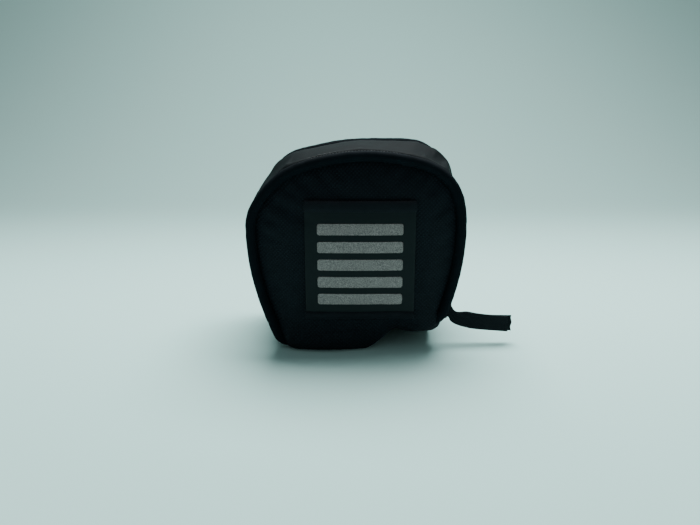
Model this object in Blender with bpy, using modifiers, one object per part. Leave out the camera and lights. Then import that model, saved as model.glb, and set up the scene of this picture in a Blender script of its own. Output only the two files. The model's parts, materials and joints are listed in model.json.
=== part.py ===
"""A small zipped pouch with a padded front flap, a piped edge and a ribbon zip pull.

Run with: blender --background --python part.py

The pouch stands on its base at z = 0. The flap faces -Y, and the ribbon pull is on the +X side. All sizes are in
metres. The pouch's outline, seen from the front, is a chain of arcs that meet smoothly: a flat base, two small
bottom corners, two long side arcs, two shoulders and a shallow top. Every layer is that outline, inset by how deep
the layer lies, so the layers nest with a thin gap between them.
"""

import math

import bmesh
import bpy
from mathutils import Matrix, Vector

MM = 0.001
GAP = 0.3 * MM  # left between neighbouring layers

# Outline, seen from the front
WIDTH = 89.0 * MM
HEIGHT = 83.6 * MM
SIDE_RADIUS = 120.5 * MM
WIDEST_Z = 53.0 * MM
SHOULDER_RADIUS = 28.0 * MM
CORNER_RADIUS = 8.0 * MM
CORNER_STEPS = 4
SIDE_STEPS = 6
SHOULDER_STEPS = 7
TOP_STEPS = 3

# Depth
DEPTH = 48.0 * MM
PIPING_RADIUS = 2.25 * MM
CROWN = 4.0 * MM
CROWN_POWER = 3.0
PANEL_RINGS = (0.93, 0.8, 0.6, 0.35)
CROWN_CENTRE_Z = 0.5 * HEIGHT

# Layer thicknesses
SHELL = 1.0 * MM
PADDING = 2.4 * MM
LINING = 0.6 * MM
BOARD = 1.6 * MM

# Zip: the two chains lie side by side behind the front piping
ZIP_Y = -15.7 * MM
CHAIN_GAP = 1.4 * MM
COIL_RADIUS = 0.85 * MM
TAPE = 0.6 * MM
TAPE_INSET = 2.9 * MM
ZIP_END_Z = 8.0 * MM
GUSSET_INSET = 1.6 * MM
GUSSET_FRONT_Y = -11.4 * MM
TAPE_BACK_Y = -8.6 * MM
SEAM_BINDING = 3.0 * MM
STOP_SIZE = (1.8 * MM, 2.2 * MM, 1.2 * MM)

# How far behind the front seam the base's inner layers start, so that the flap's foot clears them
BOARD_SETBACK = 1.0 * MM
BASE_LINING_SETBACK = 2.0 * MM

# Slider: its plates lie above the coils and below the tapes
SLIDER_Z = 15.0 * MM
SLIDER_LENGTH = 9.0 * MM
SLIDER_WIDTH = 8.2 * MM
PLATE = 0.95 * MM
KEEL = 0.65 * MM
KEEL_SHARE = 0.9
WEDGE_LENGTH = 2.5 * MM
WEDGE_OFFSET = 3.0 * MM
LIP_DEPTH = 1.6 * MM
LIP_DROP = 0.6 * MM
LIP_LENGTH = 7.2 * MM
LIP_MARGIN = 0.1 * MM
METAL_ROUNDING = 0.3 * MM
BAIL_WIRE = 0.45 * MM
BAIL_SPAN = 7.0 * MM
BAIL_BEND = 0.9 * MM
BAIL_SPLAY = 0.6 * MM

# Ribbon pull, looped through the slider's bail
RIBBON_LENGTH = 26.5 * MM
RIBBON_ROOT_WIDTH = 4.9 * MM
RIBBON_END_WIDTH = 7.4 * MM
RIBBON_LAYER = 0.6 * MM
RIBBON_DROOP = math.radians(11.5)
RIBBON_LAYER_STEP = 1.6 * MM
RIBBON_PINCH = 4.5 * MM
RIBBON_KNEE = 0.6
FOLD_START = math.radians(80.0)
FOLD_END = math.radians(280.0)
FOLD_STEPS = 8

# Patch on the flap, and the reflective stripes printed on it
PATCH_SIZE = (44.2 * MM, 48.4 * MM)
PATCH_CENTRE = (1.6 * MM, 39.9 * MM)
PATCH_THICKNESS = 0.7 * MM
BINDING_SIZES = {"top": 3.5 * MM, "bottom": 2.2 * MM}
BINDING_THICKNESS = 0.5 * MM
STRIPE_COUNT = 5
STRIPE_SIZE = (34.4 * MM, 4.6 * MM)
STRIPE_PITCH = 7.3 * MM
PRINT_CENTRE_Z = 38.7 * MM
STRIPE_THICKNESS = 0.3 * MM
STRIP_COLUMNS = 8
STRIP_ROW = 6.0 * MM

COLOURS = {
    "woven_fabric": ((0.012, 0.014, 0.018), 0.85, 0.0),
    "coated_fabric": ((0.035, 0.038, 0.040), 0.50, 0.0),
    "foam": ((0.20, 0.20, 0.21), 0.95, 0.0),
    "lining_fabric": ((0.05, 0.05, 0.055), 0.80, 0.0),
    "stiffener": ((0.04, 0.04, 0.04), 0.60, 0.0),
    "zip_tape": ((0.015, 0.015, 0.017), 0.80, 0.0),
    "zip_nylon": ((0.012, 0.012, 0.013), 0.35, 0.0),
    "black_metal": ((0.02, 0.02, 0.02), 0.35, 1.0),
    "webbing": ((0.010, 0.010, 0.012), 0.80, 0.0),
    "reflective_film": ((0.42, 0.44, 0.44), 0.45, 0.3),
}


# ---------------------------------------------------------------- scene helpers


def clear_scene():
    for obj in list(bpy.data.objects):
        bpy.data.objects.remove(obj, do_unlink=True)


def new_collection(name):
    collection = bpy.data.collections.new(name)
    bpy.context.scene.collection.children.link(collection)
    return collection


def material(name):
    """The Principled material of that name, made once."""
    made = bpy.data.materials.get(name)
    if made is None:
        colour, roughness, metallic = COLOURS[name]
        made = bpy.data.materials.new(name)
        made.use_nodes = True
        shader = made.node_tree.nodes["Principled BSDF"]
        shader.inputs["Base Color"].default_value = (*colour, 1.0)
        shader.inputs["Roughness"].default_value = roughness
        shader.inputs["Metallic"].default_value = metallic
    return made


def add_object(name, data, material_name, parent=None):
    obj = bpy.data.objects.new(name, data)
    obj.data.materials.append(material(material_name))
    POUCH.objects.link(obj)
    obj.parent = parent
    return obj


def mesh_from(bm, name):
    mesh = bpy.data.meshes.new(name)
    bm.to_mesh(mesh)
    bm.free()
    return mesh


def solidify(obj, thickness):
    """Gives a surface its thickness, half to each side."""
    modifier = obj.modifiers.new("Thickness", "SOLIDIFY")
    modifier.thickness = thickness
    modifier.offset = 0.0
    modifier.use_even_offset = True


def bevel(obj, width, segments=2):
    modifier = obj.modifiers.new("Rounded edges", "BEVEL")
    modifier.width = width
    modifier.segments = segments
    modifier.limit_method = "ANGLE"


# ---------------------------------------------------------------- outline


SIDE_CENTRE_X = 0.5 * WIDTH - SIDE_RADIUS
SHOULDER_CENTRE_X = 0.5 * WIDTH - SHOULDER_RADIUS
TOP_RISE = HEIGHT - WIDEST_Z - SHOULDER_RADIUS
TOP_ANGLE = 0.5 * math.pi - 2.0 * math.atan2(TOP_RISE, SHOULDER_CENTRE_X)
TOP_RADIUS = SHOULDER_RADIUS + SHOULDER_CENTRE_X / math.cos(TOP_ANGLE)
CORNER_CENTRE_X = SIDE_CENTRE_X + math.sqrt(
    (SIDE_RADIUS - CORNER_RADIUS) ** 2 - (WIDEST_Z - CORNER_RADIUS) ** 2
)
CORNER_ANGLE = math.atan2(CORNER_RADIUS - WIDEST_Z, CORNER_CENTRE_X - SIDE_CENTRE_X)


def arc(centre_x, centre_z, radius, start, end, steps):
    """Points (x, z) along an arc, from the angle start to the angle end, both included."""
    turns = [start + (end - start) * k / steps for k in range(steps + 1)]
    return [(centre_x + radius * math.cos(a), centre_z + radius * math.sin(a)) for a in turns]


def side_angle(inset, z):
    """The angle on the side arc at the height z."""
    return math.asin((z - WIDEST_Z) / (SIDE_RADIUS - inset))


def right_half(inset, start_z=None):
    """Points up the right side, from the base, or from the height start_z on the side arc, to the top's middle."""
    points = []
    side_start = CORNER_ANGLE
    if start_z is None:
        points += arc(
            CORNER_CENTRE_X, CORNER_RADIUS, CORNER_RADIUS - inset, -0.5 * math.pi, CORNER_ANGLE, CORNER_STEPS
        )[:-1]
    else:
        side_start = side_angle(inset, start_z)
    points += arc(SIDE_CENTRE_X, WIDEST_Z, SIDE_RADIUS - inset, side_start, 0.0, SIDE_STEPS)[:-1]
    points += arc(
        SHOULDER_CENTRE_X, WIDEST_Z, SHOULDER_RADIUS - inset, 0.0, TOP_ANGLE, SHOULDER_STEPS
    )[:-1]
    points += arc(0.0, HEIGHT - TOP_RADIUS, TOP_RADIUS - inset, TOP_ANGLE, 0.5 * math.pi, TOP_STEPS)
    return points


def corner_points(inset, end_z):
    """Points round the right bottom corner, from the base to the height end_z on the side arc."""
    points = arc(
        CORNER_CENTRE_X, CORNER_RADIUS, CORNER_RADIUS - inset, -0.5 * math.pi, CORNER_ANGLE, CORNER_STEPS
    )[:-1]
    points += arc(SIDE_CENTRE_X, WIDEST_Z, SIDE_RADIUS - inset, CORNER_ANGLE, side_angle(inset, end_z), 1)
    return points


def arch(inset, start_z=None):
    """The open outline from the right end, over the top, to the left end."""
    right = right_half(inset, start_z)
    return right + [(-x, z) for x, z in reversed(right[:-1])]


def crown_height(x, z, rim):
    """How far a crowned panel stands out at (x, z). It is 0 on the rim and CROWN at the middle."""
    across, up = x, z - CROWN_CENTRE_Z
    if math.hypot(across, up) < 0.01 * MM:
        return CROWN
    for (x1, z1), (x2, z2) in zip(rim, rim[1:] + rim[:1]):
        ax, az, bx, bz = x1, z1 - CROWN_CENTRE_Z, x2, z2 - CROWN_CENTRE_Z
        cross = ax * bz - az * bx
        first = (across * bz - up * bx) / cross
        second = (ax * up - az * across) / cross
        if first >= -1e-9 and second >= -1e-9:
            return CROWN * (1.0 - (first + second) ** CROWN_POWER)
    return 0.0


# ---------------------------------------------------------------- shapes


def crowned_panel(name, inset, rim_y, thickness, material_name, facing):
    """A pillow-like layer inside the piping. facing is -1 for the front and +1 for the back, and rim_y is the y of
    the layer's middle surface at its rim."""
    rim = arch(inset)
    bm = bmesh.new()
    face = bm.faces.new([bm.verts.new((x, rim_y, z)) for x, z in rim])
    before = 1.0
    for ring in PANEL_RINGS:
        bmesh.ops.inset_region(bm, faces=[face], thickness=0.0, use_boundary=True)
        for vert in face.verts:
            vert.co.x *= ring / before
            vert.co.z = CROWN_CENTRE_Z + (vert.co.z - CROWN_CENTRE_Z) * ring / before
            vert.co.y = rim_y + facing * CROWN * (1.0 - ring**CROWN_POWER)
        before = ring
    middle = bmesh.ops.poke(bm, faces=[face])["verts"][0]
    middle.co = (0.0, rim_y + facing * CROWN, CROWN_CENTRE_Z)
    obj = add_object(name, mesh_from(bm, name), material_name)
    solidify(obj, thickness)
    return obj


def arch_strip(name, inset, thickness, y_range, material_name, start_z=None):
    """A strip that follows the outline over the pouch, between two depths. inset is that of its outer surface."""
    return strip_along(name, arch(inset + 0.5 * thickness, start_z), thickness, y_range, material_name)


def strip_along(name, path, thickness, y_range, material_name):
    """A strip along the points (x, z) of a path, between two depths."""
    bm = bmesh.new()
    bmesh.ops.create_grid(bm, x_segments=len(path) - 1, y_segments=1, size=1.0)
    bm.verts.ensure_lookup_table()
    for row, y in enumerate(y_range):
        for column, (x, z) in enumerate(path):
            bm.verts[row * len(path) + column].co = (x, y, z)
    obj = add_object(name, mesh_from(bm, name), material_name)
    solidify(obj, thickness)
    return obj


def tube(name, points, radius, material_name, closed, parent=None):
    """A round cord along the points, made from a curve."""
    curve = bpy.data.curves.new(name, "CURVE")
    curve.dimensions = "3D"
    curve.bevel_depth = radius
    curve.bevel_resolution = 2
    curve.use_fill_caps = not closed
    spline = curve.splines.new("POLY")
    spline.points.add(len(points) - 1)
    for point, place in zip(spline.points, points):
        point.co = (*place, 1.0)
    spline.use_cyclic_u = closed
    return add_object(name, curve, material_name, parent)


def box(name, size, centre, material_name, parent=None, rounding=None):
    bm = bmesh.new()
    bmesh.ops.create_cube(bm, size=1.0)
    bmesh.ops.scale(bm, vec=size, verts=bm.verts)
    obj = add_object(name, mesh_from(bm, name), material_name, parent)
    obj.location = centre
    if rounding:
        bevel(obj, rounding)
    return obj


def crowned_strip(name, centre, size, offset, thickness, material_name):
    """A thin rectangle that lies on the front panel's crown, its back offset from the panel's front face."""
    rows = max(2, round(size[1] / STRIP_ROW))
    rim = arch(PANEL_INSET)
    front = FLAP_PANEL_Y - 0.5 * SHELL - offset - 0.5 * thickness
    bm = bmesh.new()
    bmesh.ops.create_grid(bm, x_segments=STRIP_COLUMNS, y_segments=rows, size=0.5)
    for vert in bm.verts:
        x = centre[0] + vert.co.x * size[0]
        z = centre[1] + vert.co.y * size[1]
        vert.co = (x, front - crown_height(x, z, rim), z)
    obj = add_object(name, mesh_from(bm, name), material_name)
    solidify(obj, thickness)
    return obj


def join_into(target, *others):
    """Joins overlapping solids into one by Boolean union."""
    for other in others:
        modifier = target.modifiers.new("Join " + other.name, "BOOLEAN")
        modifier.operation = "UNION"
        modifier.object = other
        POUCH.objects.unlink(other)
        CUTTERS.objects.link(other)
        other.hide_render = True
        other.display_type = "WIRE"


def as_mesh(obj):
    """A mesh object in the place of a curve object, with its caps welded, so that it can take a Boolean."""
    bpy.context.view_layer.update()
    name, matrix, parent = obj.name, obj.matrix_world.copy(), obj.parent
    graph = bpy.context.evaluated_depsgraph_get()
    mesh = bpy.data.meshes.new_from_object(obj.evaluated_get(graph))
    bm = bmesh.new()
    bm.from_mesh(mesh)
    bmesh.ops.remove_doubles(bm, verts=bm.verts, dist=0.001 * MM)
    bm.to_mesh(mesh)
    bm.free()
    bpy.data.objects.remove(obj, do_unlink=True)
    made = bpy.data.objects.new(name, mesh)
    POUCH.objects.link(made)
    made.parent = parent
    made.matrix_world = matrix
    return made


# ---------------------------------------------------------------- places derived from the sizes


PANEL_INSET = 2.0 * PIPING_RADIUS + GAP
PIPING_Y = 0.5 * DEPTH - PIPING_RADIUS
FLAP_PANEL_Y = -(PIPING_Y + 0.5 * SHELL)
FLAP_FOAM_Y = FLAP_PANEL_Y + 0.5 * SHELL + GAP + 0.5 * PADDING
FLAP_LINING_Y = FLAP_FOAM_Y + 0.5 * PADDING + GAP + 0.5 * LINING
SEAM_Y = 0.5 * DEPTH - 2.0 * PIPING_RADIUS - GAP
HINGE = Vector((0.0, -PIPING_Y, PIPING_RADIUS))


# ---------------------------------------------------------------- flap


def make_flap():
    """The front flap: a padded panel in a piped edge, with one half of the zip. It turns about the piping in its
    bottom edge, which rolls where it lies."""
    hinge = bpy.data.objects.new("flap_hinge", None)
    POUCH.objects.link(hinge)
    hinge.location = HINGE
    pieces = [
        crowned_panel("front_panel", PANEL_INSET, FLAP_PANEL_Y, SHELL, "woven_fabric", -1),
        crowned_panel("front_foam", PANEL_INSET, FLAP_FOAM_Y, PADDING, "foam", -1),
        crowned_panel("front_lining", PANEL_INSET, FLAP_LINING_Y, LINING, "lining_fabric", -1),
        piping("front_piping", -PIPING_Y),
        arch_strip(
            "front_zip_tape", TAPE_INSET, TAPE, (-SEAM_Y, ZIP_Y - 0.5 * CHAIN_GAP), "zip_tape", ZIP_END_Z
        ),
        zip_coil("front_zip_coil", -1),
        crowned_strip("front_patch", PATCH_CENTRE, PATCH_SIZE, GAP, PATCH_THICKNESS, "coated_fabric"),
    ]
    for end, direction in (("top", 1), ("bottom", -1)):
        height = BINDING_SIZES[end]
        centre = (PATCH_CENTRE[0], PATCH_CENTRE[1] + 0.5 * direction * (PATCH_SIZE[1] - height))
        pieces.append(
            crowned_strip(
                f"patch_{end}_binding",
                centre,
                (PATCH_SIZE[0], height),
                2.0 * GAP + PATCH_THICKNESS,
                BINDING_THICKNESS,
                "woven_fabric",
            )
        )
    for number in range(STRIPE_COUNT):
        rise = (number - 0.5 * (STRIPE_COUNT - 1)) * STRIPE_PITCH
        centre = (PATCH_CENTRE[0], PRINT_CENTRE_Z + rise)
        pieces.append(
            crowned_strip(
                f"reflective_stripe_{number + 1}",
                centre,
                STRIPE_SIZE,
                2.0 * GAP + PATCH_THICKNESS,
                STRIPE_THICKNESS,
                "reflective_film",
            )
        )
    for piece in pieces:
        piece.parent = hinge
        piece.matrix_parent_inverse = Matrix.Translation(-HINGE)


def piping(name, y):
    points = [(x, y, z) for x, z in arch(PIPING_RADIUS)]
    return tube(name, points, PIPING_RADIUS, "coated_fabric", closed=True)


def zip_coil(name, side):
    """One half of the zip's chain. side is -1 for the flap's half and +1 for the body's."""
    y = ZIP_Y + side * (0.5 * CHAIN_GAP + COIL_RADIUS)
    inset = TAPE_INSET - GAP - COIL_RADIUS
    start_z = ZIP_END_Z + 2.0 * COIL_RADIUS
    points = [(x, y, z) for x, z in arch(inset, start_z)]
    return tube(name, points, COIL_RADIUS, "zip_nylon", closed=False)


# ---------------------------------------------------------------- body


def make_body():
    """The pouch's body: the strip round it, its padding and lining, the back, the base and the other zip half."""
    back_y = -FLAP_PANEL_Y
    crowned_panel("back_panel", PANEL_INSET, back_y, SHELL, "woven_fabric", 1)
    crowned_panel("back_foam", PANEL_INSET, -FLAP_FOAM_Y, PADDING, "foam", 1)
    crowned_panel("back_lining", PANEL_INSET, -FLAP_LINING_Y, LINING, "lining_fabric", 1)
    piping("back_piping", PIPING_Y)

    foam_inset = GUSSET_INSET + SHELL + GAP
    lining_inset = foam_inset + PADDING + GAP
    lining_back_y = -FLAP_LINING_Y - 0.5 * LINING - GAP
    arch_strip("gusset_shell", GUSSET_INSET, SHELL, (GUSSET_FRONT_Y, SEAM_Y), "coated_fabric")
    arch_strip("gusset_foam", foam_inset, PADDING, (TAPE_BACK_Y + GAP, lining_back_y), "foam")
    arch_strip("gusset_lining", lining_inset, LINING, (GUSSET_FRONT_Y, lining_back_y), "lining_fabric")
    arch_strip(
        "rear_zip_tape", TAPE_INSET, TAPE, (ZIP_Y + 0.5 * CHAIN_GAP, TAPE_BACK_Y), "zip_tape", ZIP_END_Z
    )
    zip_coil("rear_zip_coil", 1)
    binding_inset = lining_inset + LINING + GAP
    arch_strip(
        "back_seam_binding", binding_inset, LINING, (lining_back_y - SEAM_BINDING, lining_back_y), "zip_tape"
    )
    make_base(lining_back_y)
    make_zip_stops()
    make_zip_end_tabs()


def make_base(lining_back_y):
    """The base between the bottom corners: an outer strip, a stiffener and a lining, stacked up from z = 0."""
    width = 2.0 * (CORNER_CENTRE_X - GAP)
    layers = (
        ("base_shell", SHELL, -SEAM_Y, SEAM_Y, "coated_fabric"),
        ("base_board", BOARD, -SEAM_Y + BOARD_SETBACK, lining_back_y, "stiffener"),
        ("base_lining", LINING, -SEAM_Y + BASE_LINING_SETBACK, lining_back_y, "lining_fabric"),
    )
    bottom = 0.0
    for name, thickness, front_y, back_y, material_name in layers:
        size = (width, back_y - front_y, thickness)
        box(name, size, (0.0, 0.5 * (front_y + back_y), bottom + 0.5 * thickness), material_name)
        bottom += thickness + GAP


def make_zip_stops():
    """Metal stops at the lower ends of the body's coil: one on the right, and one on the left."""
    inset = TAPE_INSET - GAP - COIL_RADIUS
    y = ZIP_Y + 0.5 * CHAIN_GAP + COIL_RADIUS
    angle = side_angle(inset, ZIP_END_Z + 0.5 * STOP_SIZE[2])
    radius = SIDE_RADIUS - inset
    for name, side in (("zip_stop_right", 1), ("zip_stop_left", -1)):
        place = (side * (SIDE_CENTRE_X + radius * math.cos(angle)), y, WIDEST_Z + radius * math.sin(angle))
        stop = box(name, STOP_SIZE, place, "black_metal", rounding=METAL_ROUNDING)
        stop.rotation_euler.y = -side * angle


def make_zip_end_tabs():
    """Two fabric tabs that close the pouch below the zip's ends, at the bottom corners."""
    y_range = (-SEAM_Y, GUSSET_FRONT_Y - GAP)
    right = corner_points(GUSSET_INSET + 0.5 * SHELL, ZIP_END_Z - GAP)
    strip_along("zip_end_tab_right", right, SHELL, y_range, "coated_fabric")
    left = [(-x, z) for x, z in right]
    strip_along("zip_end_tab_left", left, SHELL, y_range, "coated_fabric")


# ---------------------------------------------------------------- slider and ribbon


def make_slider():
    """The zip's slider, which turns about the side arc's centre, and its ribbon, which swings about the bail. Both
    are modelled in a frame whose origin lies on the outline, with X outwards, Y across the zip and Z along it."""
    angle = side_angle(0.0, SLIDER_Z)
    track_centre = bpy.data.objects.new("slider_track_centre", None)
    POUCH.objects.link(track_centre)
    track_centre.location = (SIDE_CENTRE_X, ZIP_Y, WIDEST_Z)
    track_centre.rotation_euler.y = -angle

    coil_top = -(TAPE_INSET - GAP - 2.0 * COIL_RADIUS)
    plate_x = SIDE_RADIUS + coil_top + GAP + 0.5 * PLATE
    tape_back = TAPE_INSET + TAPE
    keel_x = SIDE_RADIUS - tape_back - 2.0 * GAP - 0.5 * KEEL
    bail_x = plate_x + 0.5 * PLATE + GAP + RIBBON_LAYER + GAP + BAIL_WIRE

    plate = box(
        "zip_slider",
        (PLATE, SLIDER_WIDTH, SLIDER_LENGTH),
        (plate_x, 0.0, 0.0),
        "black_metal",
        track_centre,
        METAL_ROUNDING,
    )
    keel = box(
        "slider_keel",
        (KEEL, KEEL_SHARE * SLIDER_WIDTH, KEEL_SHARE * SLIDER_LENGTH),
        (keel_x, 0.0, 0.0),
        "black_metal",
        track_centre,
        METAL_ROUNDING,
    )
    wedge = box(
        "slider_wedge",
        (plate_x - keel_x, CHAIN_GAP - 2.0 * GAP, WEDGE_LENGTH),
        (0.5 * (plate_x + keel_x), 0.0, -WEDGE_OFFSET),
        "black_metal",
        track_centre,
    )
    lip_inner_y = 0.5 * CHAIN_GAP + 2.0 * COIL_RADIUS + GAP
    lip_outer_y = 0.5 * SLIDER_WIDTH - LIP_MARGIN
    lip = box(
        "slider_lip",
        (LIP_DEPTH, lip_outer_y - lip_inner_y, LIP_LENGTH),
        (plate_x - LIP_DROP, 0.5 * (lip_inner_y + lip_outer_y), 0.0),
        "black_metal",
        track_centre,
    )
    reach = 0.5 * BAIL_SPAN
    bail = as_mesh(
        tube(
            "slider_bail",
            [
                (plate_x, 0.0, -reach - BAIL_SPLAY),
                (bail_x - BAIL_BEND, 0.0, -reach),
                (bail_x, 0.0, -reach + BAIL_BEND),
                (bail_x, 0.0, reach - BAIL_BEND),
                (bail_x - BAIL_BEND, 0.0, reach),
                (plate_x, 0.0, reach + BAIL_SPLAY),
            ],
            BAIL_WIRE,
            "black_metal",
            closed=False,
            parent=track_centre,
        )
    )
    join_into(plate, keel, wedge, lip, bail)
    make_ribbon(track_centre, bail_x)


def make_ribbon(track_centre, bail_x):
    """A webbing ribbon folded round the bail, its two layers lying together. It is narrow in the bail and spreads
    to its full width. It sticks out sideways and droops by RIBBON_DROOP."""
    swing = bpy.data.objects.new("ribbon_swing_axis", None)
    POUCH.objects.link(swing)
    swing.parent = track_centre
    swing.location = (bail_x, 0.0, 0.0)

    middle = BAIL_WIRE + GAP + 0.5 * RIBBON_LAYER
    layer_y = 0.5 * RIBBON_LAYER + 0.5 * GAP
    knee = RIBBON_KNEE * RIBBON_LENGTH
    fold = [(middle * math.cos(a), middle * math.sin(a)) for a in fold_angles()]
    rear = [(RIBBON_LENGTH, layer_y), (knee, layer_y), (RIBBON_PINCH, layer_y)]
    front = [(RIBBON_PINCH, -layer_y), (knee, -layer_y), (RIBBON_LENGTH - RIBBON_LAYER_STEP, -layer_y)]
    path = rear + fold + front

    rows = 2
    bm = bmesh.new()
    bmesh.ops.create_grid(bm, x_segments=len(path) - 1, y_segments=rows, size=1.0)
    bm.verts.ensure_lookup_table()
    rise = math.tan(-side_angle(0.0, SLIDER_Z) - RIBBON_DROOP)
    for row in range(rows + 1):
        for column, (x, y) in enumerate(path):
            share = min(1.0, max(0.0, (x - middle) / (RIBBON_LENGTH - middle)))
            half = 0.5 * (RIBBON_ROOT_WIDTH + (RIBBON_END_WIDTH - RIBBON_ROOT_WIDTH) * share)
            z = half * (2.0 * row / rows - 1.0) + rise * max(0.0, x)
            bm.verts[row * len(path) + column].co = (x, y, z)
    ribbon = add_object("pull_ribbon", mesh_from(bm, "pull_ribbon"), "webbing", swing)
    solidify(ribbon, RIBBON_LAYER)


def fold_angles():
    """Angles round the bail's back, from the rear layer to the front one."""
    return [FOLD_START + (FOLD_END - FOLD_START) * k / FOLD_STEPS for k in range(FOLD_STEPS + 1)]


clear_scene()
POUCH = new_collection("zipped_pouch")
CUTTERS = new_collection("joined_shapes")
make_flap()
make_body()
make_slider()
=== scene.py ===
"""The looks of a small zipped pouch: a padded flap with a piped edge, a coil zip, a patch and a ribbon.

The pouch is built on one outline, seen from the front: arcs that meet smoothly, as in the CAD. A soft pouch
isn't quite that shape, so its sides and the back of its shoulders are fuller, it leans a little to the right,
and towards the front its right bottom corner rises off the floor. Every strip of fabric is a loft: a profile
of (inset, y) points carried along that outline.
"""
import json
import math

import bpy
import numpy as np
from mathutils import Matrix, Vector
from mathutils.bvhtree import BVHTree


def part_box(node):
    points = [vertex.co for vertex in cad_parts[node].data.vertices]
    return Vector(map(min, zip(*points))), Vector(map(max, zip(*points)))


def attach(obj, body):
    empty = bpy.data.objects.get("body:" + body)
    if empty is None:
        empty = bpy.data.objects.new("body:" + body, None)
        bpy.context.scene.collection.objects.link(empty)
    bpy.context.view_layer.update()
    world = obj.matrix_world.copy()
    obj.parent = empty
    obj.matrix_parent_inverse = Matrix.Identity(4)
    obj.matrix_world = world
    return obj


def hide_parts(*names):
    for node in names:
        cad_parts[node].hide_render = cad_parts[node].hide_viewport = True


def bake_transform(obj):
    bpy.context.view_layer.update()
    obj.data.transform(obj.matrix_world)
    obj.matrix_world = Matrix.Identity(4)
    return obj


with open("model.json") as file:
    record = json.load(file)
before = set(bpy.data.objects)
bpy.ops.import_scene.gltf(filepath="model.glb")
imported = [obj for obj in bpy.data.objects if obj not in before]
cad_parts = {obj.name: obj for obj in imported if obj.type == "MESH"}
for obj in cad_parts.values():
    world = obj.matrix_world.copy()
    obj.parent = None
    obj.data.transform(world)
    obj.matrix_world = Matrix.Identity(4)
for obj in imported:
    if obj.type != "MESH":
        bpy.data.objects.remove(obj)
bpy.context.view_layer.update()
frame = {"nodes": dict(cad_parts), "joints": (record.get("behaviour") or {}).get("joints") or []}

MM = 0.001

# Sizes read from the frame
PIPING_LOW, PIPING_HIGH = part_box("front_piping")
PATCH_LOW, PATCH_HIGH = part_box("front_patch")
HALF_WIDTH = PIPING_HIGH[0]
HEIGHT = PIPING_HIGH[2]
PIPING_RADIUS = 0.5 * (PIPING_HIGH[1] - PIPING_LOW[1])
PIPING_Y = PIPING_LOW[1] + PIPING_RADIUS
FRONT_SEAM_Y = PIPING_HIGH[1]
BACK_SEAM_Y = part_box("back_piping")[0][1]
GUSSET_FRONT_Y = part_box("gusset_shell")[0][1]
JOINTS = {joint["name"]: joint for joint in frame["joints"]}
TRACK_CENTRE = Vector(JOINTS["slider_travel"]["pos_m"])
BAIL = Vector(JOINTS["ribbon_swing"]["pos_m"])
BAIL_AXIS = Vector(JOINTS["ribbon_swing"]["axis"]).normalized()

# The outline's arcs, as in the CAD
WIDEST_Z = TRACK_CENTRE.z
SIDE_CENTRE_X = TRACK_CENTRE.x
SIDE_RADIUS = HALF_WIDTH - SIDE_CENTRE_X
SHOULDER_RADIUS = 28.0 * MM
CORNER_RADIUS = 8.0 * MM
SHOULDER_X = HALF_WIDTH - SHOULDER_RADIUS

# The raised right bottom corner, and the crease beside it
CORNER_RISE = 7.5 * MM
RISE_FROM_X = 3.0 * MM
RISE_WIDTH = 14.0 * MM
RISE_BACK_Y = 8.0 * MM
RISE_DEPTH = 26.0 * MM
CREASE_X = 17.0 * MM
CREASE_RISE = 1.0 * MM
CREASE_WIDTH = 3.0 * MM

# How the soft pouch leans and fills out
LEAN_X = 1.8 * MM
LEAN_Z = 0.030
LEAN_HEIGHT = 22.0 * MM
FULLNESS = 0.7 * MM
FULLEST_Z = 42.0 * MM
FULL_HEIGHT = 20.0 * MM
BACK_TOP_RISE = 0.8 * MM

# How far each shoulder fills out towards the back: amount, middle and width
SHOULDER_FILLS = ((3.1 * MM, 31.0 * MM, 10.0 * MM), (2.0 * MM, -33.0 * MM, 7.0 * MM))

# Where the padded face hangs over the piping, which is tucked under it
LOBE_TUCK = 1.6 * MM
LOBE_SET_BACK = 1.0 * MM
LOBE_HEIGHT = 9.0 * MM
LOBE_FROM_X = -36.0 * MM
LOBE_FADE = 12.0 * MM
LOBE_OVERHANG = 3.5 * MM

# Padded panels
RIM_INSET = 3.6 * MM
RIM_DEPTH = 1.0 * MM
RIM_TUCK = 1.8 * MM
CROWN = 3.6 * MM
HELD_SHARE = 0.985

# The face's fold beside the raised corner, and the places where it hangs forwards: amount, middle (x, z), size
FOLD_DEPTH = 2.0 * MM
FOLD_WIDTH = 1.7 * MM
FOLD_HEIGHT = 5.5 * MM
FOLD_SLOPE = 0.18
BULGES = (
    (1.8 * MM, (21.0 * MM, 13.5 * MM), (6.5 * MM, 5.0 * MM)),
    (4.0 * MM, (-13.0 * MM, 3.0 * MM), (15.0 * MM, 5.0 * MM)),
)

# Columns along the outline: up the right side to the top's middle, down the left side, and along the base
SIDE_COLUMNS = 190
BASE_COLUMNS = 100
COLUMNS = 2 * SIDE_COLUMNS + BASE_COLUMNS
ZIP_END_Z = 8.0 * MM
ZIP_Y = TRACK_CENTRE.y

# Zip
COIL_PITCH = 1.3 * MM
COIL_INSET = 1.75 * MM
COIL_WIDTH = 1.37 * MM
COIL_HEIGHT = 0.52 * MM
COIL_OFFSET = 1.02 * MM
WIRE_RADIUS = 0.3 * MM
TAPE_INSET = 3.2 * MM

# Gusset
GUSSET_BULGE = 1.9 * MM

# Base and corner tabs
BASE_INSET = 0.5 * MM
TAB_INSET = 1.9 * MM
FABRIC_THICKNESS = 0.6 * MM

# Patch
PATCH_CENTRE_X = 0.5 * (PATCH_LOW[0] + PATCH_HIGH[0])
PATCH_CENTRE_Z = 0.5 * (PATCH_LOW[2] + PATCH_HIGH[2])
PATCH_WIDTH = PATCH_HIGH[0] - PATCH_LOW[0]
PATCH_HEIGHT = PATCH_HIGH[2] - PATCH_LOW[2]
PATCH_BOW = 0.35 * MM

# Slider: how far its top plate lies under the bail, and its under plate beyond that
PLATE_DEPTH = 2.125 * MM
PLATE_GAP = 4.3 * MM

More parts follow.
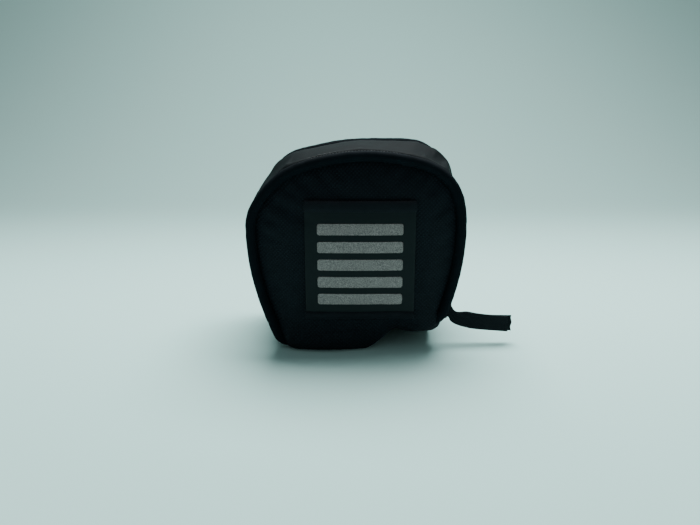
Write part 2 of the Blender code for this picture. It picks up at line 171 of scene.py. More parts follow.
# Ribbon
RIBBON_FOLD_RADIUS = 1.05 * MM
RIBBON_START = 1.2 * MM
RIBBON_SHORTER = 1.9 * MM

# Cloth simulation
SIM_SCALE = 12.0
SIM_FRAMES = 26


# ------------ small maths


def smooth(value):
    """0 up to 0, 1 from 1 on, and a smooth step between them."""
    t = np.clip(value, 0.0, 1.0)
    return t * t * (3.0 - 2.0 * t)


def bell(value):
    return np.exp(-0.5 * np.square(value))


def ripple(u, v, pitch, seed):
    """Smooth bumps about one pitch across, roughly between -1 and 1."""
    draw = np.random.default_rng(seed)
    total = 0.0
    waves = 9
    for _ in range(waves):
        angle = draw.uniform(0.0, 2.0 * math.pi)
        rate = 2.0 * math.pi / pitch * draw.uniform(0.6, 1.5)
        phase = draw.uniform(0.0, 6.28)
        total = total + np.sin(rate * (u * math.cos(angle) + v * math.sin(angle)) + phase)
    return total * 2.0 / waves


# ------------ outline


def arc(centre_x, centre_z, radius, start, end, steps):
    angles = np.linspace(start, end, steps)
    return np.stack([centre_x + radius * np.cos(angles), centre_z + radius * np.sin(angles)], axis=1)


def travelled(points):
    """How far along a chain of points each of them lies."""
    return np.concatenate([[0.0], np.cumsum(np.linalg.norm(np.diff(points, axis=0), axis=1))])


def at_distance(distance, steps, values):
    """The (x, y, z) at a distance along a chain, between those given for the chain's points."""
    return np.array([np.interp(distance, steps, values[:, k]) for k in range(3)])


def resample(points, count):
    """count + 1 points at equal steps along a chain of points."""
    lengths = travelled(points)
    wanted = np.linspace(0.0, lengths[-1], count + 1)
    return np.stack([np.interp(wanted, lengths, points[:, k]) for k in range(2)], axis=1)


def right_stretch(rise):
    """From the right bottom corner, raised by rise, up the side and over the shoulder to the top's middle."""
    top_rise = HEIGHT - WIDEST_Z - SHOULDER_RADIUS
    top_angle = 0.5 * math.pi - 2.0 * math.atan2(top_rise, SHOULDER_X)
    top_radius = SHOULDER_RADIUS + SHOULDER_X / math.cos(top_angle)
    corner_z = rise + CORNER_RADIUS
    reach = SIDE_RADIUS - CORNER_RADIUS
    corner_x = SIDE_CENTRE_X + math.sqrt(reach**2 - (WIDEST_Z - corner_z) ** 2)
    corner_angle = math.atan2(corner_z - WIDEST_Z, corner_x - SIDE_CENTRE_X)
    return np.concatenate(
        [
            arc(corner_x, corner_z, CORNER_RADIUS, -0.5 * math.pi, corner_angle, 40)[:-1],
            arc(SIDE_CENTRE_X, WIDEST_Z, SIDE_RADIUS, corner_angle, 0.0, 120)[:-1],
            arc(SHOULDER_X, WIDEST_Z, SHOULDER_RADIUS, 0.0, top_angle, 80)[:-1],
            arc(0.0, HEIGHT - top_radius, top_radius, top_angle, 0.5 * math.pi, 60),
        ]
    )


def raised_share(y):
    """1 at the front, where the right corner is off the floor, and 0 at the back, where the base is flat."""
    return float(smooth((RISE_BACK_Y - y) / RISE_DEPTH))


def lean(points):
    """Shifts the shoulders to the right and turns the top a little. Nothing below the widest height moves."""
    share = smooth((points[:, 1] - WIDEST_Z) / LEAN_HEIGHT)
    moved = points.copy()
    moved[:, 0] += LEAN_X * share
    moved[:, 1] += LEAN_Z * points[:, 0] * share
    return moved


def fullness(z):
    """How far the filled pouch stands outside its plain outline at a height z."""
    return FULLNESS * bell((z - FULLEST_Z) / FULL_HEIGHT)


OUTLINES = {}


def outline(y):
    """The outline's points (x, z) and outward normals at a depth y, COLUMNS of each."""
    share = round(raised_share(y), 3)
    if share not in OUTLINES:
        rise = CORNER_RISE * share
        right = resample(right_stretch(rise), SIDE_COLUMNS)
        left = resample(right_stretch(0.0), SIDE_COLUMNS)[::-1] * np.array([-1.0, 1.0])
        x = np.linspace(left[-1][0], right[0][0], BASE_COLUMNS + 1)
        z = rise * smooth((x - RISE_FROM_X) / RISE_WIDTH)
        z += share * CREASE_RISE * bell((x - CREASE_X) / CREASE_WIDTH)
        base = np.stack([x, z], axis=1)
        points = np.concatenate([right[:-1], left[:-1], base[:-1]])
        points = lean(points)
        ahead = np.roll(points, -2, axis=0) - np.roll(points, 2, axis=0)
        normals = np.stack([ahead[:, 1], -ahead[:, 0]], axis=1)
        normals /= np.linalg.norm(normals, axis=1)[:, None]
        points += normals * fullness(points[:, 1])[:, None]
        facing_up = np.clip(normals[:, 1], 0.0, 1.0)
        filled = BACK_TOP_RISE * facing_up**2
        for amount, middle, width in SHOULDER_FILLS:
            filled += amount * facing_up * bell((points[:, 0] - middle) / width)
        points += normals * ((1.0 - share) ** 4 * filled)[:, None]
        OUTLINES[share] = (points, normals)
    return OUTLINES[share]


def section(y, inset):
    """The outline at a depth y, moved inwards by inset, which may be one value or one for each column."""
    points, normals = outline(y)
    return points - normals * np.reshape(inset, (-1, 1))


def track_inset(inset, y):
    """For each column, the inset that keeps a piece of the zip on the plain outline, where the slider runs."""
    points, _ = outline(y)
    return inset + fullness(points[:, 1])


ARCH = np.arange(0, 2 * SIDE_COLUMNS + 1)
ROUND = np.arange(0, COLUMNS)
BASE = np.append(np.arange(2 * SIDE_COLUMNS, COLUMNS), 0)


def zip_columns():
    """The columns of the outline that the zip runs along, both ends above the corners."""
    points, _ = outline(ZIP_Y)
    return ARCH[points[ARCH][:, 1] >= ZIP_END_Z + 3.0 * MM]


# ------------ meshes


def add_object(name, data):
    obj = bpy.data.objects.new(name, data)
    bpy.context.scene.collection.objects.link(obj)
    return obj


def mesh_object(name, verts, faces, uvs=None):
    """A smooth-shaded mesh object. uvs holds one (u, v) in millimetres for each vertex."""
    mesh = bpy.data.meshes.new(name)
    mesh.from_pydata([tuple(v) for v in verts], [], [tuple(int(i) for i in f) for f in faces])
    if uvs is not None:
        layer = mesh.uv_layers.new(name="fabric")
        corner_verts = np.zeros(len(mesh.loops), dtype=np.int32)
        mesh.loops.foreach_get("vertex_index", corner_verts)
        layer.data.foreach_set("uv", np.asarray(uvs, dtype=np.float32)[corner_verts].ravel())
    mesh.shade_smooth()
    return add_object(name, mesh)


def grid_faces(rows, columns, closed_rows=False, closed_columns=False):
    """Quads between the vertices of a grid, numbered row by row."""
    r = np.arange(rows if closed_rows else rows - 1)
    c = np.arange(columns if closed_columns else columns - 1)
    r, c = np.meshgrid(r, c, indexing="ij")
    r2, c2 = (r + 1) % rows, (c + 1) % columns
    quads = np.stack([r * columns + c, r * columns + c2, r2 * columns + c2, r2 * columns + c], axis=-1)
    return quads.reshape(-1, 4)


def loft(name, profile, columns, closed=False, tube=False, relief=None):
    """Carries a profile of (inset, y) points along the outline's columns. relief(u, v) pushes the surface
    outwards: u is the distance along the outline and v the distance along the profile, as arrays."""
    profile = np.asarray(profile, dtype=float)
    along_profile = travelled(profile)
    along = travelled(outline(0.0)[0])[columns]
    if columns[-1] < columns[0]:
        along[-1] = along[-2] + (along[-2] - along[-3])
    rows = []
    for (inset, y), v in zip(profile, along_profile):
        insets = np.full(COLUMNS, inset)
        if relief:
            insets[columns] -= relief(along, np.full(len(along), v))
        points = section(y, insets)[columns]
        rows.append(np.stack([points[:, 0], np.full(len(points), y), points[:, 1]], axis=1))
    verts = np.concatenate(rows)
    uvs = np.stack([np.tile(along, len(profile)), np.repeat(along_profile, len(along))], axis=1) / MM
    faces = grid_faces(len(profile), len(columns), closed_rows=tube, closed_columns=closed)
    return mesh_object(name, verts, faces, uvs)


def thicken(obj, thickness, offset=-1.0):
    modifier = obj.modifiers.new("Thickness", "SOLIDIFY")
    modifier.thickness = thickness
    modifier.offset = offset
    modifier.use_even_offset = True


def subdivide(obj, levels=1):
    modifier = obj.modifiers.new("Smooth", "SUBSURF")
    modifier.levels = levels
    modifier.render_levels = levels


def finish_piece(obj, body, slot, material, *nodes):
    """Gives a piece its material and its body, and hides the CAD nodes that it stands for."""
    obj.data.materials.clear()
    obj.data.materials.append(material)
    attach(obj, body)
    if nodes:
        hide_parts(*nodes)
    return obj


def coordinates(obj):
    flat = np.zeros(len(obj.data.vertices) * 3)
    obj.data.vertices.foreach_get("co", flat)
    return flat.reshape(-1, 3)


def set_coordinates(obj, points):
    obj.data.vertices.foreach_set("co", np.asarray(points, dtype=np.float32).ravel())
    obj.data.update()


def relax_as_cloth(obj, pinned, pressure, growth, cap):
    """Lets a piece of fabric, held where pinned is true, fill out as cloth, and keeps its new shape. No point
    moves further than cap. The simulation runs on an enlarged copy: cloth settings suit large scenes."""
    start = coordinates(obj)
    middle = start.mean(axis=0)
    faces = [list(p.vertices) for p in obj.data.polygons]
    copy = mesh_object(obj.name + "_cloth", (start - middle) * SIM_SCALE, faces)
    group = copy.vertex_groups.new(name="pinned")
    group.add([int(i) for i in np.nonzero(pinned)[0]], 1.0, "REPLACE")
    cloth = copy.modifiers.new("Cloth", "CLOTH")
    settings = cloth.settings
    settings.quality = 6
    settings.mass = 0.3
    settings.tension_stiffness = 25.0
    settings.compression_stiffness = 25.0
    settings.shear_stiffness = 8.0
    settings.bending_stiffness = 2.0
    settings.vertex_group_mass = "pinned"
    settings.use_pressure = True
    settings.uniform_pressure_force = pressure
    settings.shrink_min = -growth
    settings.effector_weights.gravity = 0.0
    cloth.point_cache.frame_start = 1
    cloth.point_cache.frame_end = SIM_FRAMES
    scene = bpy.context.scene
    for number in range(1, SIM_FRAMES + 1):
        scene.frame_set(number)
    graph = bpy.context.evaluated_depsgraph_get()
    result = copy.evaluated_get(graph)
    flat = np.zeros(len(result.data.vertices) * 3)
    result.data.vertices.foreach_get("co", flat)
    moved = flat.reshape(-1, 3) / SIM_SCALE + middle - start
    far = np.linalg.norm(moved, axis=1)[:, None]
    moved *= np.minimum(1.0, cap / np.maximum(far, 1e-9))
    set_coordinates(obj, start + moved)
    bpy.data.objects.remove(copy, do_unlink=True)
    scene.frame_set(1)


# ------------ materials


class Shader:
    """A Principled material with a few helpers for building its nodes."""

    def __init__(self, name, colour, roughness, metallic=0.0, sheen=0.0, specular=0.5):
        self.material = bpy.data.materials.new(name)
        self.material.use_nodes = True
        self.nodes = self.material.node_tree.nodes
        self.links = self.material.node_tree.links
        self.shader = self.nodes["Principled BSDF"]
        self.colour = colour
        values = {"Base Color": (*colour, 1.0), "Roughness": roughness, "Metallic": metallic}
        values |= {"Specular IOR Level": specular, "Sheen Weight": sheen, "Sheen Roughness": 0.4}
        for socket, value in values.items():
            self.shader.inputs[socket].default_value = value

    def node(self, kind, **inputs):
        made = self.nodes.new(kind)
        for name, value in inputs.items():
            self.set(made.inputs[name.replace("_", " ")], value)
        return made

    def set(self, socket, value):
        if isinstance(value, bpy.types.NodeSocket):
            self.links.new(value, socket)
        else:
            socket.default_value = value

    def sum(self, operation, first, second):
        made = self.nodes.new("ShaderNodeMath")
        made.operation = operation
        self.set(made.inputs[0], first)
        self.set(made.inputs[1], second)
        return made.outputs[0]

    def uv(self):
        return self.nodes.new("ShaderNodeUVMap").outputs["UV"]

    def place(self):
        return self.nodes.new("ShaderNodeTexCoord").outputs["Object"]

    def noise(self, vector, scale, detail=3.0):
        return self.node("ShaderNodeTexNoise", Vector=vector, Scale=scale, Detail=detail).outputs["Fac"]

    def weave(self, pitch_mm, turn=0.0):
        """The height of a plain weave, whose rounded threads go over and under each other. UVs are in mm."""
        turned = self.node("ShaderNodeMapping", Vector=self.uv())
        turned.inputs["Rotation"].default_value = (0.0, 0.0, turn)
        axes = self.nodes.new("ShaderNodeSeparateXYZ")
        self.links.new(turned.outputs[0], axes.inputs[0])
        rate = math.pi / pitch_mm
        waves = [self.sum("SINE", self.sum("MULTIPLY", axes.outputs[k], rate), 0.0) for k in (0, 1)]
        over = self.sum("MULTIPLY", waves[0], waves[1])
        threads = self.sum("ADD", self.sum("ABSOLUTE", waves[0], 0.0), self.sum("ABSOLUTE", waves[1], 0.0))
        return self.sum("ADD", self.sum("MULTIPLY", over, 0.5), self.sum("MULTIPLY", threads, 0.25))

    def mottle(self, height, amount):
        """Lightens and darkens the base colour by a height between 0 and 1."""
        ramp = self.node("ShaderNodeMapRange", Value=height, To_Min=1.0 - amount, To_Max=1.0 + amount)
        tint = self.nodes.new("ShaderNodeVectorMath")
        tint.operation = "SCALE"
        tint.inputs[0].default_value = self.colour
        self.links.new(ramp.outputs[0], tint.inputs["Scale"])
        self.links.new(tint.outputs[0], self.shader.inputs["Base Color"])

    def bump(self, height, distance, strength=1.0):
        made = self.node("ShaderNodeBump", Height=height, Strength=strength, Distance=distance)
        self.links.new(made.outputs[0], self.shader.inputs["Normal"])


def woven(name, colour, pitch_mm, depth, roughness=0.75, sheen=0.0, mottle=0.6, turn=0.0, specular=0.12):
    """A woven fabric: thread relief, colour that varies with the threads, and slow unevenness."""
    s = Shader(name, colour, roughness, sheen=sheen, specular=specular)
    threads = s.weave(pitch_mm, turn)
    slow = s.noise(s.place(), 160.0)
    s.mottle(s.sum("ADD", s.sum("MULTIPLY", threads, 0.8), s.sum("MULTIPLY", slow, 0.5)), mottle)
    fuzz = s.noise(s.place(), 5200.0, 2.0)
    s.bump(s.sum("ADD", threads, s.sum("MULTIPLY", fuzz, 0.35)), depth)
    return s.material


def coated(name, colour, roughness, grain_depth, sheen=0.0, specular=0.2):
    """A smooth coated fabric: a faint weave under the coating, fine grain, and an uneven gloss."""
    s = Shader(name, colour, roughness, sheen=sheen, specular=specular)
    grain = s.noise(s.place(), 1900.0, 4.0)
    cloth = s.weave(0.45)
    slow = s.noise(s.place(), 90.0)
    s.mottle(s.sum("ADD", s.sum("MULTIPLY", grain, 0.6), s.sum("MULTIPLY", slow, 0.4)), 0.22)
    gloss = s.node("ShaderNodeMapRange", Value=slow, To_Min=roughness - 0.07, To_Max=roughness + 0.07)
    s.links.new(gloss.outputs[0], s.shader.inputs["Roughness"])
    s.bump(s.sum("ADD", grain, s.sum("MULTIPLY", cloth, 0.5)), grain_depth)
    return s.material


def solid(name, colour, roughness, grain_scale, grain_depth, metallic=0.0, specular=0.5):
    """A moulded or painted surface, or foam: an even colour with a fine grain."""
    s = Shader(name, colour, roughness, metallic=metallic, specular=specular)
    grain = s.noise(s.place(), grain_scale, 3.0)
    s.mottle(grain, 0.15)
    s.bump(grain, grain_depth)
    return s.material


def reflective(name):
    """A retro-reflective print: silver with tiny beads, some worn dark."""
    s = Shader(name, (0.190, 0.156, 0.154), 0.45, metallic=0.3, specular=0.4)
    beads = s.noise(s.place(), 3300.0, 2.0)
    worn = s.noise(s.place(), 420.0, 5.0)
    sharp = s.node("ShaderNodeMapRange", Value=beads, From_Min=0.35, From_Max=0.65)
    s.mottle(s.sum("ADD", s.sum("MULTIPLY", sharp.outputs[0], 0.75), s.sum("MULTIPLY", worn, 0.35)), 0.75)
    s.bump(beads, 0.05 * MM)
    return s.material


NYLON = woven("black_woven_nylon", (0.0040, 0.0070, 0.0105), 0.80, 0.16 * MM)
BINDING = woven("grosgrain_binding", (0.0058, 0.0082, 0.0115), 0.34, 0.08 * MM)
COATED = coated("black_coated_fabric", (0.0044, 0.0066, 0.0078), 0.66, 0.035 * MM, specular=0.04)
PATCH_CLOTH = coated("patch_coated_fabric", (0.0060, 0.0105, 0.0120), 0.55, 0.03 * MM, specular=0.12)
PIPING_CLOTH = woven(
    "piping_bias_fabric", (0.0042, 0.0070, 0.0096), 0.32, 0.06 * MM, turn=0.785, roughness=0.75, specular=0.03
)
LINING = woven("lining_fabric", (0.020, 0.022, 0.026), 0.30, 0.04 * MM, roughness=0.6)
TAPE = woven("zip_tape_fabric", (0.0060, 0.0070, 0.0085), 0.30, 0.06 * MM)
WEBBING = woven("ribbon_webbing", (0.0060, 0.0085, 0.0110), 0.55, 0.15 * MM)
COIL_NYLON = solid("zip_coil_nylon", (0.012, 0.013, 0.015), 0.38, 2500.0, 0.01 * MM)
THREAD = solid("black_thread", (0.012, 0.014, 0.017), 0.55, 6000.0, 0.03 * MM)
PAINTED = solid("black_painted_metal", (0.016, 0.017, 0.019), 0.34, 1800.0, 0.01 * MM, metallic=0.2)
SILVER = reflective("reflective_print")


# ------------ stitches


def stitch_row(name, points, normals, pitch, length, radius, body, slot="zip_tape"):
    """A row of thread stitches along a chain of points, each a short bead bent into the cloth at both ends."""
    points = np.asarray(points)
    normals = np.asarray(normals)
    steps = travelled(points)
    count = int((steps[-1] - length) / pitch)
    verts, faces = [], []
    rings, sides = 5, 6
    for k in range(count):
        middle = (k + 0.5) * pitch + 0.5 * length
        base = len(verts)
        for ring in range(rings):
            t = 2.0 * ring / (rings - 1) - 1.0
            here = middle + 0.5 * t * length
            centre = at_distance(here, steps, points)
            up = at_distance(here, steps, normals)
            up /= np.linalg.norm(up)
            along = at_distance(here + 0.1 * MM, steps, points) - centre
            along /= max(np.linalg.norm(along), 1e-12)
            side = np.cross(along, up)
            size = radius * math.sqrt(max(0.12, 1.0 - 0.85 * t * t))
            lifted = centre + up * radius * (0.55 - 1.1 * t * t)
            for turn in range(sides):
                a = 2.0 * math.pi * turn / sides
                verts.append(lifted + size * (math.cos(a) * side + math.sin(a) * up))
        for ring in range(rings - 1):
            for turn in range(sides):
                a, b = base + ring * sides + turn, base + ring * sides + (turn + 1) % sides
                faces.append((a, b, b + sides, a + sides))
        faces.append(tuple(base + i for i in reversed(range(sides))))
        faces.append(tuple(base + (rings - 1) * sides + i for i in range(sides)))
    return finish_piece(mesh_object(name, verts, faces), body, slot, THREAD)


def outline_row(y, inset, columns):
    """Points and outward normals along the outline, for a stitch row."""
    points = section(y, inset)[columns]
    _, normals = outline(y)
    flat = normals[columns]
    zeros = np.zeros(len(columns))
    return (
        np.stack([points[:, 0], zeros + y, points[:, 1]], axis=1),
        np.stack([flat[:, 0], zeros, flat[:, 1]], axis=1),
    )


# ------------ padded panels


def pillow(name, rim, centre, rim_y, crown, facing, cells):
    """A crowned panel whose rim is a closed chain of points (x, z). A square grid is mapped onto it, so that
    it has no pole. Returns the object and each vertex's share of the way from the centre to the rim."""
    angles = np.arctan2(rim[:, 1] - centre[1], rim[:, 0] - centre[0])
    order = np.argsort(angles)
    turns, reach = angles[order], np.linalg.norm(rim - centre, axis=1)[order]
    line = np.linspace(-1.0, 1.0, cells + 1)
    v, u = np.meshgrid(line, line, indexing="ij")
    u, v = u.ravel(), v.ravel()
    share = np.maximum(np.abs(u), np.abs(v))
    wide = np.abs(u) >= np.abs(v)
    with np.errstate(divide="ignore", invalid="ignore"):
        turn = np.where(wide, 0.25 * math.pi * v / u, 0.5 * math.pi - 0.25 * math.pi * u / v)
    turn = np.where(share == 0.0, 0.0, turn)
    backwards = np.where(wide, u < 0.0, v < 0.0)
    turn = turn + math.pi * backwards
    turn = (turn + math.pi) % (2.0 * math.pi) - math.pi
    radius = np.interp(turn, turns, reach, period=2.0 * math.pi) * share
    x = centre[0] + radius * np.cos(turn)
    z = centre[1] + radius * np.sin(turn)
    y = rim_y + facing * crown * (1.0 - share**2.6)
    faces = grid_faces(cells + 1, cells + 1)
    if facing > 0:
        faces = faces[:, ::-1]
    obj = mesh_object(name, np.stack([x, y, z], axis=1), faces, np.stack([x, z], axis=1) / MM)
    return obj, share


def tuck(obj, share, depth, facing, from_share=0.94):
    """Turns a panel's last stretch inwards to its seam."""
    points = coordinates(obj)
    inwards = smooth((share - from_share) / (1.0 - from_share))
    points[:, 1] -= facing * depth * inwards
    set_coordinates(obj, points)


def pucker_rim(obj, share, facing, seed, size):
    """Small gathers where a panel meets its seam, and slow unevenness over the rest."""
    points = coordinates(obj)
    middle = points.mean(axis=0)
    turn = np.arctan2(points[:, 2] - middle[2], points[:, 0] - middle[0]) * 38.0 * MM
    near_rim = bell((share - 0.93) / 0.05)
    gathers = size * near_rim * ripple(turn, np.zeros(len(turn)), 5.0 * MM, seed)
    slow = 1.6 * size * (1.0 - share**4) * ripple(points[:, 0], points[:, 2], 26.0 * MM, seed + 1)
    points[:, 1] += facing * (gathers + slow)
    set_coordinates(obj, points)


PANEL_CENTRE = np.array([0.8 * MM, 0.5 * HEIGHT])


def crowned_face(name, rim, facing, cells, seed, gather_size):
    """A padded panel's face, its rim turned in to the seam and gathered there."""
    rim_y = facing * (RIM_DEPTH - PIPING_Y)
    obj, share = pillow(name, rim, PANEL_CENTRE, rim_y, CROWN, facing, cells)
    tuck(obj, share, RIM_TUCK, facing)
    pucker_rim(obj, share, facing, seed, gather_size)
    return obj, share


def fill_out(obj, share):
    """Lets the padding press a face's fabric out between its seams."""
    relax_as_cloth(obj, share > HELD_SHARE, pressure=1.6, growth=0.0, cap=1.0 * MM)
    subdivide(obj)


def make_front_face():
    """The flap's padded woven face, with the crease and the soft lobe at its right bottom corner."""
    rim = section(FRONT_SEAM_Y, RIM_INSET - LOBE_OVERHANG * under_lobe())
    obj, share = crowned_face("flap_face", rim, -1, 84, 11, 0.07 * MM)
    crease_panel(obj)
    fill_out(obj, share)
    finish_piece(obj, "flap", "woven_fabric", NYLON, "front_panel", "front_foam")
    return obj


def under_lobe():
    """For each column, how far the face hangs over the piping: 1 along the base, past its left corner."""
    points, _ = outline(FRONT_SEAM_Y)
    x, z = points[:, 0], points[:, 1]
    low = 1.0 - smooth((z - raised_by(x)) / LOBE_HEIGHT)
    return low * smooth((x - LOBE_FROM_X) / LOBE_FADE)


def raised_by(x):
    """How far the base's front edge is off the floor at x."""
    return CORNER_RISE * smooth((x - RISE_FROM_X) / RISE_WIDTH)


def crease_panel(obj):
    """Folds the face back beside the raised corner, and lets it hang forwards where it bulges."""
    points = coordinates(obj)
    x, z = points[:, 0], points[:, 2]
    height = z - CORNER_RISE
    line = CREASE_X + FOLD_SLOPE * height
    moved = FOLD_DEPTH * (bell((x - line) / FOLD_WIDTH) * np.exp(-np.maximum(height, 0.0) / FOLD_HEIGHT))
    for amount, middle, size in BULGES:
        moved -= amount * (bell((x - middle[0]) / size[0]) * bell((z - middle[1]) / size[1]))
    points[:, 1] += moved
    set_coordinates(obj, points)


def make_back_face():
    obj, share = crowned_face("back_face", section(BACK_SEAM_Y, RIM_INSET), 1, 72, 23, 0.08 * MM)
    fill_out(obj, share)
    finish_piece(obj, "shell", "woven_fabric", NYLON, "back_panel", "back_foam")


def make_panel_lining(name, y, facing, body, seam_y, node):
    """The lining behind a panel, which follows the panel's crown at less depth."""
    obj, share = pillow(name, section(seam_y, 4.6 * MM), PANEL_CENTRE, y, 2.9 * MM, facing, 48)
    pucker_rim(obj, share, facing, 31, 0.20 * MM)
    thicken(obj, 0.5 * MM, 0.0)
    finish_piece(obj, body, "lining_fabric", LINING, node)


# ------------ strips along the outline


def circle_profile(inset, y, radius, sides):
    """A round cord's profile, turning from its outer side towards the front, so that its faces point out."""
    turns = [2.0 * math.pi * k / sides for k in range(sides)]
    return [(inset - radius * math.cos(a), y + radius * math.sin(a)) for a in turns]


def make_piping(name, y, body, node, seed, tucked=0.0):
    """The covered cord round a panel. Its cover is a little uneven and gathers on the curves."""
    radius = PIPING_RADIUS - 0.1 * MM
    sides = 20

    def uneven(u, v):
        around = 0.07 * MM * ripple(u, 3.0 * v, 7.0 * MM, seed)
        gathers = 0.05 * MM * ripple(u, 0.3 * v, 2.4 * MM, seed + 1)
        return around + gathers

    profile = circle_profile(PIPING_RADIUS, y, radius, sides)
    obj = loft(name, profile, ROUND, closed=True, tube=True, relief=uneven)
    if tucked:
        points = coordinates(obj).reshape(sides, COLUMNS, 3)
        share = under_lobe()
        _, normals = outline(y)
        points[:, :, 0] -= (normals[:, 0] * share * tucked)[None]
        points[:, :, 1] += (share * LOBE_SET_BACK)[None]
        points[:, :, 2] -= (normals[:, 1] * share * tucked)[None]
        set_coordinates(obj, points.reshape(-1, 3))
    finish_piece(obj, body, "coated_fabric", PIPING_CLOTH, node)


def gusset_bulge(v, depth):
    """How full the padded gusset is at a distance v across it: 1 in the middle and 0 at both seams."""
    across = np.clip(v / depth, 0.0, 1.0)
    return 1.0 - np.abs(2.0 * across - 1.0) ** 2.4


def make_gusset():
    """The wide padded strip over the pouch: it bulges between its seams, and its edges gather."""
    front, back = GUSSET_FRONT_Y + 0.2 * MM, BACK_SEAM_Y + 0.6 * MM
    depth = back - front
    bands = 26
    profile = [(2.6 * MM, front + 0.5 * MM), (1.9 * MM, front)]
    profile += [(1.6 * MM, front + depth * k / bands) for k in range(1, bands)]
    profile += [(2.4 * MM, back)]

    def relief(u, v):
        full = gusset_bulge(v, depth)
        near_edge = np.exp(-v / (2.5 * MM)) + np.exp(-(depth - v) / (2.5 * MM))
        gathers = 0.14 * MM * near_edge * ripple(u, 0.2 * v, 5.5 * MM, 41)
        slow = 0.32 * MM * full * ripple(u, v, 24.0 * MM, 43)
        fold = 0.22 * MM * full * ripple(u, 0.35 * v, 10.0 * MM, 47)
        return GUSSET_BULGE * full + gathers + slow + fold

    obj = loft("gusset_outer", profile, ARCH, relief=relief)
    rows = len(profile)
    row = np.repeat(np.arange(rows), len(ARCH))
    column = np.tile(np.arange(len(ARCH)), rows)
    held = (row <= 1) | (row >= rows - 1) | (column == 0) | (column == len(ARCH) - 1)
    relax_as_cloth(obj, held, pressure=0.8, growth=0.001, cap=0.9 * MM)
    thicken(obj, 0.7 * MM)
    finish_piece(obj, "shell", "coated_fabric", COATED, "gusset_shell")
    hem = outline_row(front + 1.6 * MM, 1.0 * MM, ARCH[12:-12])
    stitch_row("gusset_hem_stitches", *hem, 2.4 * MM, 1.9 * MM, 0.16 * MM, "shell")


def make_gusset_lining():
    """The inside of the gusset: a facing folded round the padding's front edge, then the lining."""
    front = GUSSET_FRONT_Y
    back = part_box("gusset_lining")[1][1]
    profile = [(2.9 * MM, front + 1.0 * MM), (3.4 * MM, front + 0.2 * MM), (4.4 * MM, front)]
    profile += [(5.6 * MM, front + 0.3 * MM), (6.1 * MM, front + 1.2 * MM)]
    profile += [(6.2 * MM, front + (back - front) * k / 12) for k in range(2, 13)]

    def relief(u, v):
        return 0.25 * MM * ripple(u, v, 14.0 * MM, 53)

    obj = loft("gusset_inside", profile, ARCH, relief=relief)
    finish_piece(obj, "shell", "lining_fabric", LINING, "gusset_lining", "gusset_foam")
    thicken(obj, 0.3 * MM, 1.0)


def make_back_binding():
    """The tape that is folded over the inside seam at the back."""
    low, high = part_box("back_seam_binding")
    profile = [(6.6 * MM, high[1]), (6.9 * MM, high[1] - 0.4 * MM)]
    profile += [(7.0 * MM, low[1] + 0.4 * MM), (6.6 * MM, low[1])]
    obj = loft("inside_seam_binding", profile, ARCH)
    thicken(obj, 0.3 * MM, 1.0)
    finish_piece(obj, "shell", "zip_tape", TAPE, "back_seam_binding")


def make_tapes():
    """The zip's two tapes, each from its seam to the middle of the chain."""
    columns = zip_columns()
    sunk = track_inset(0.0, ZIP_Y)[columns]

    def relief(u, v):
        return 0.06 * MM * ripple(u, v, 9.0 * MM, 61) - sunk

    flap_profile = [(3.4 * MM, FRONT_SEAM_Y - 0.8 * MM), (TAPE_INSET, FRONT_SEAM_Y + 0.8 * MM)]
    flap_profile += [(TAPE_INSET, ZIP_Y - 1.6 * MM), (TAPE_INSET, ZIP_Y - 0.2 * MM)]
    body_profile = [(TAPE_INSET, ZIP_Y + 0.2 * MM), (TAPE_INSET, ZIP_Y + 1.6 * MM)]
    body_profile += [(TAPE_INSET, ZIP_Y + 4.0 * MM), (TAPE_INSET, GUSSET_FRONT_Y + 2.4 * MM)]
    halves = (
        ("flap_zip_tape", flap_profile, "flap", "front_zip_tape"),
        ("body_zip_tape", body_profile, "shell", "rear_zip_tape"),
    )
    for name, profile, body, node in halves:
        tape = loft(name, profile, columns, relief=relief)
        thicken(tape, 0.5 * MM, 0.0)
        finish_piece(tape, body, "zip_tape", TAPE, node)


def make_coil(name, side, body, node):
    """One half of the zip's chain: a flattened coil whose loops fit between those of the other half."""
    columns = zip_columns()
    y = ZIP_Y + side * COIL_OFFSET
    points, normals = outline_row(y, track_inset(COIL_INSET, y), columns)
    steps = travelled(points)
    loop_points = 10
    loops = int(steps[-1] / COIL_PITCH) - 1
    shift = 0.25 if side > 0 else 0.75
    route = []
    for k in range(loops * loop_points):
        turn = k / loop_points
        here = (turn + shift) * COIL_PITCH
        centre = at_distance(here, steps, points)
        up = at_distance(here, steps, normals)
        angle = 2.0 * math.pi * turn
        flat = math.copysign(abs(math.cos(angle)) ** 0.6, math.cos(angle))
        centre[1] += COIL_WIDTH * flat
        route.append(centre + up * COIL_HEIGHT * math.sin(angle))
    curve = bpy.data.curves.new(name, "CURVE")
    curve.dimensions = "3D"
    curve.bevel_depth = WIRE_RADIUS
    curve.bevel_resolution = 1
    curve.use_fill_caps = True
    spline = curve.splines.new("POLY")
    spline.points.add(len(route) - 1)
    for point, place in zip(spline.points, route):
        point.co = (*place, 1.0)
    finish_piece(add_object(name, curve), body, "zip_nylon", COIL_NYLON, node)
    stitch_y = ZIP_Y + side * 1.5 * MM
    row = outline_row(stitch_y, track_inset(COIL_INSET - COIL_HEIGHT - WIRE_RADIUS, stitch_y), columns)
    stitch_row(name + "_stitches", *row, COIL_PITCH, 1.25 * MM, 0.14 * MM, body)


# ------------ base and corners


